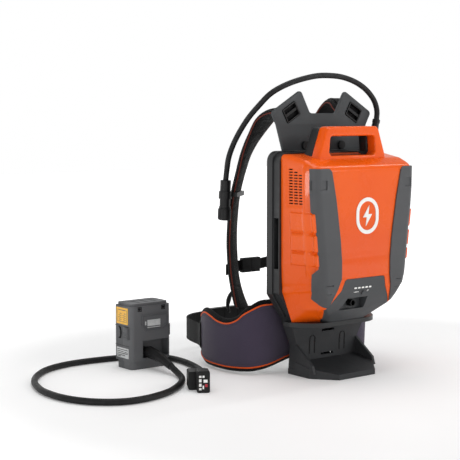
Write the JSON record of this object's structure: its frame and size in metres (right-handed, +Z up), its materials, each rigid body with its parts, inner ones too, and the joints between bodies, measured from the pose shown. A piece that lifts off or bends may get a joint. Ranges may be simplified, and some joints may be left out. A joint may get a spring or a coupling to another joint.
{
  "type": "backpack battery with tool adapter",
  "caption": "Backpack battery on a foot stand with carrying harness, power cable to a shoulder connector and a plug-in hand-tool adapter on its own cable.",
  "frame": {"origin": "middle of the foot stand's flat base, on the floor", "axes": "+Z up, -Y towards the badge side, +Y towards the wearer, +X to the right of someone facing the badge"},
  "size_m": [0.8002, 0.5002, 0.6396],
  "materials": {
    "orange_plastic": "polished moulded plastic",
    "bumper_rubber": "fine moulded grain",
    "frame_plastic": "fine moulded grain",
    "foot_plastic": "fine moulded grain",
    "panel_plastic": "satin moulded",
    "black_plastic": "satin moulded",
    "badge_white": "printed",
    "lens_clear": "translucent",
    "cell_wrap": "shrink wrap over a steel can",
    "tray_plastic": "moulded",
    "steel": "zinc plated",
    "contact_metal": "plated",
    "board_green": "solder mask",
    "pad_mesh": "spacer mesh over foam",
    "belt_fabric": "woven nylon",
    "strap_fabric": "spacer mesh over foam",
    "webbing": "woven webbing",
    "cable_rubber": "smooth sheath",
    "adapter_plastic": "fine moulded grain",
    "label_film": "plain film"
  },
  "bodies": {
    "pack": {"foot_stand": "foot_plastic", "back_frame": "frame_plastic", "shoulder_yoke": "frame_plastic", "yoke_slot_frames": "black_plastic", "yoke_screws": "black_plastic", "frame_screws": "steel", "back_pad": "pad_mesh", "rear_housing": "frame_plastic", "front_cover": "orange_plastic", "handle_rear_shell": "frame_plastic", "bumper_left": "bumper_rubber", "bumper_right": "bumper_rubber", "vent_screens": "pad_mesh", "control_panel": "panel_plastic", "led_lenses": "lens_clear", "charge_socket": "black_plastic", "charge_contacts": "contact_metal", "front_badge": "badge_white", "battery_cells": "cell_wrap", "cell_tray_front": "tray_plastic", "cell_tray_rear": "tray_plastic", "bus_bars": "steel", "circuit_board": "board_green", "fan_housing": "black_plastic", "cable_gland": "black_plastic", "power_cable": "cable_rubber", "tool_connector": "black_plastic", "connector_contacts": "contact_metal", "strap_clip": "black_plastic", "shoulder_strap_left": "strap_fabric", "shoulder_strap_right": "strap_fabric", "strap_adjusters": "black_plastic", "lower_webbing_left": "webbing", "lower_webbing_right": "webbing", "chest_webbing_left": "webbing", "chest_buckle_socket": "black_plastic", "lumbar_pad": "pad_mesh", "hip_wing_left": "belt_fabric", "hip_wing_right": "belt_fabric", "hip_webbing_left": "webbing", "hip_buckle_socket": "black_plastic"},
    "button": {"status_button": "lens_clear"},
    "fan_rotor": {"fan_rotor": "black_plastic"},
    "lock_collar": {"lock_collar": "black_plastic"},
    "chest_buckle_half": {"chest_buckle_tongue": "black_plastic", "chest_webbing_right": "webbing"},
    "hip_buckle_half": {"hip_buckle_tongue": "black_plastic", "hip_webbing_right": "webbing"},
    "adapter": {"adapter_shell_front": "adapter_plastic", "adapter_shell_rear": "adapter_plastic", "adapter_labels": "label_film", "adapter_screws": "steel", "adapter_contacts": "steel", "adapter_strain_relief": "cable_rubber", "adapter_cable": "cable_rubber", "adapter_plug": "black_plastic"},
    "latch_left": {"adapter_latch_left": "adapter_plastic"},
    "latch_right": {"adapter_latch_right": "adapter_plastic"}
  },
  "joints": [
    {"name": "button_press", "type": "slide", "parent": "pack", "child": "button", "axis": [0, 0.9191, 0.3939], "range_m": [0, 0.0015], "stiffness_N_per_m": 300},
    {"name": "fan_spin", "type": "hinge", "parent": "pack", "child": "fan_rotor", "pos_m": [-0.098, -0.02, 0.402], "axis": [1, 0, 0], "continuous": true},
    {"name": "collar_turn", "type": "hinge", "parent": "pack", "child": "lock_collar", "pos_m": [-0.144, 0.2095, 0.3655], "axis": [0, 0.0574, -0.9984], "range_deg": [0, 45]},
    {"name": "chest_buckle_open", "type": "slide", "parent": "pack", "child": "chest_buckle_half", "axis": [1, 0, 0], "range_m": [0, 0.025]},
    {"name": "hip_buckle_open", "type": "slide", "parent": "pack", "child": "hip_buckle_half", "axis": [1, 0, 0], "range_m": [0, 0.03]},
    {"name": "adapter_lift", "type": "slide", "parent": "pack", "child": "adapter", "axis": [0, 0, 1], "range_m": [0, 0.25]},
    {"name": "latch_left_press", "type": "slide", "parent": "adapter", "child": "latch_left", "axis": [1, 0, 0], "range_m": [0, 0.004], "stiffness_N_per_m": 400},
    {"name": "latch_right_press", "type": "slide", "parent": "adapter", "child": "latch_right", "axis": [-1, 0, 0], "range_m": [0, 0.004], "stiffness_N_per_m": 400}
  ]
}
